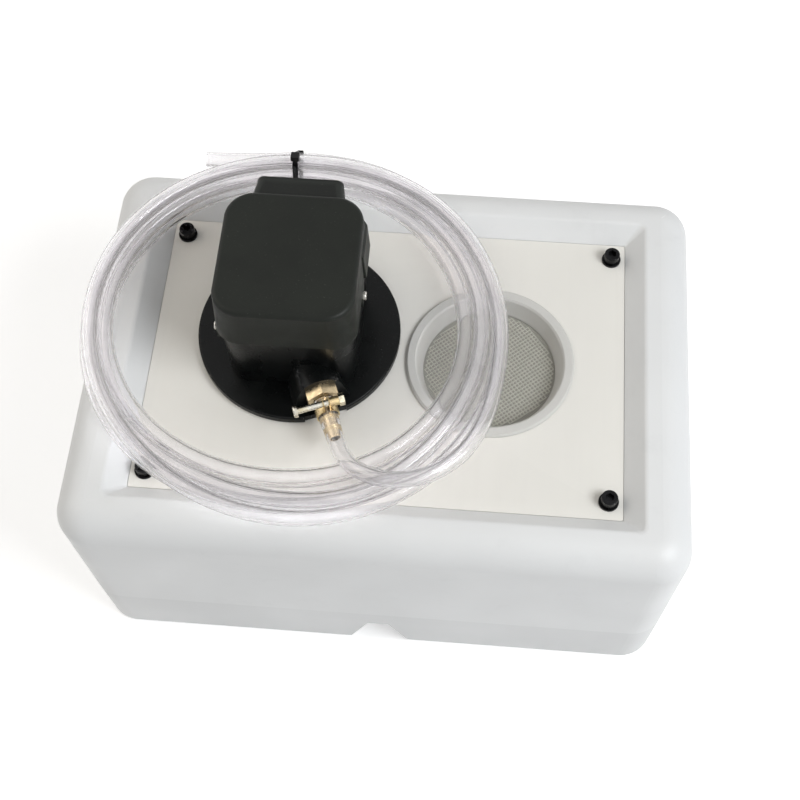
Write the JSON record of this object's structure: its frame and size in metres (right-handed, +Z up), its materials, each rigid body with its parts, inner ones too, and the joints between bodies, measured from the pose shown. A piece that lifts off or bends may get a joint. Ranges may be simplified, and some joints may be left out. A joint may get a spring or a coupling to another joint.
{
  "type": "coolant pump",
  "caption": "Immersion coolant pump with a square motor on a recessed cover plate in a white plastic tank, with a strainer and a clear hose coiled on top.",
  "frame": {"origin": "centre of the tank's foot, on the surface that it stands on", "axes": "+X to the right along the tank's long side, +Y to the back where the terminal box sits, +Z up"},
  "size_m": [0.3854, 0.2779, 0.253],
  "materials": {
    "tank_plastic": "waxy, slightly glossy moulded polyethylene",
    "plate_plastic": "satin sheet",
    "strainer_plastic": "satin moulding",
    "mesh_metal": "fine mesh",
    "black_plastic": "matte moulding",
    "black_gloss": "smooth moulding",
    "black_steel": "black oxide",
    "bright_steel": "zinc plated",
    "ground_steel": "ground",
    "brass": "machined",
    "yellow_zinc": "yellow passivated strip",
    "rubber": "matte",
    "copper": "varnished winding",
    "laminations": "stacked sheet",
    "cast_aluminium": "die cast",
    "clear_hose": "clear soft PVC"
  },
  "bodies": {
    "tank": {"tank_shell": "tank_plastic", "cover_plate": "plate_plastic", "plate_inserts": "brass", "plate_washers": "black_steel", "plate_screws": "black_steel", "flange_gasket": "rubber", "flange_screws": "bright_steel", "motor_housing": "black_gloss", "motor_cover": "black_plastic", "side_screws": "bright_steel", "stator_core": "laminations", "stator_windings": "copper", "upper_bracket": "cast_aluminium", "bracket_screws": "bright_steel", "shaft_seal": "rubber", "lower_bearing_outer_ring": "ground_steel", "upper_bearing_outer_ring": "ground_steel", "column": "black_gloss", "column_screws": "bright_steel", "suction_cover": "black_plastic", "suction_screws": "bright_steel", "riser_pipe": "black_gloss", "riser_o_rings": "rubber", "terminal_box": "black_plastic", "terminal_lid": "black_plastic", "lid_screws": "bright_steel", "terminal_block": "plate_plastic", "terminal_screws": "brass", "gland_body": "black_plastic", "gland_nut": "black_plastic", "gland_seal": "rubber", "gland_locknut": "black_plastic", "hose_barb": "brass", "hose_lead": "clear_hose", "hose_coil": "clear_hose", "hose_tail": "clear_hose", "cable_tie": "black_plastic", "clamp_band": "yellow_zinc", "clamp_barrel": "yellow_zinc", "clamp_screw": "bright_steel", "clamp_nut": "bright_steel"},
    "rotor": {"shaft": "ground_steel", "rotor_core": "laminations", "lower_bearing_inner_ring": "ground_steel", "upper_bearing_inner_ring": "ground_steel", "shaft_circlip": "black_steel", "slinger": "rubber", "impeller": "black_plastic", "impeller_nut": "bright_steel"},
    "lower_cage": {"lower_bearing_cage": "brass", "lower_bearing_balls": "ground_steel"},
    "upper_cage": {"upper_bearing_cage": "brass", "upper_bearing_balls": "ground_steel"},
    "strainer": {"strainer_cup": "strainer_plastic", "strainer_mesh": "mesh_metal"}
  },
  "joints": [
    {"name": "rotor_spin", "type": "hinge", "parent": "tank", "child": "rotor", "pos_m": [-0.0577, 0.0165, 0.163], "axis": [0, 0, 1], "continuous": true},
    {"name": "lower_cage_spin", "type": "hinge", "parent": "tank", "child": "lower_cage", "pos_m": [-0.0577, 0.0165, 0.1865], "axis": [0, 0, 1], "continuous": true},
    {"name": "upper_cage_spin", "type": "hinge", "parent": "tank", "child": "upper_cage", "pos_m": [-0.0577, 0.0165, 0.24], "axis": [0, 0, 1], "continuous": true},
    {"name": "strainer_lift", "type": "slide", "parent": "tank", "child": "strainer", "axis": [0, 0, 1], "range_m": [0, 0.006]}
  ],
  "couplings": [
    {"joint": "lower_cage_spin", "follows": "rotor_spin", "ratio": 0.385},
    {"joint": "upper_cage_spin", "follows": "rotor_spin", "ratio": 0.385}
  ]
}
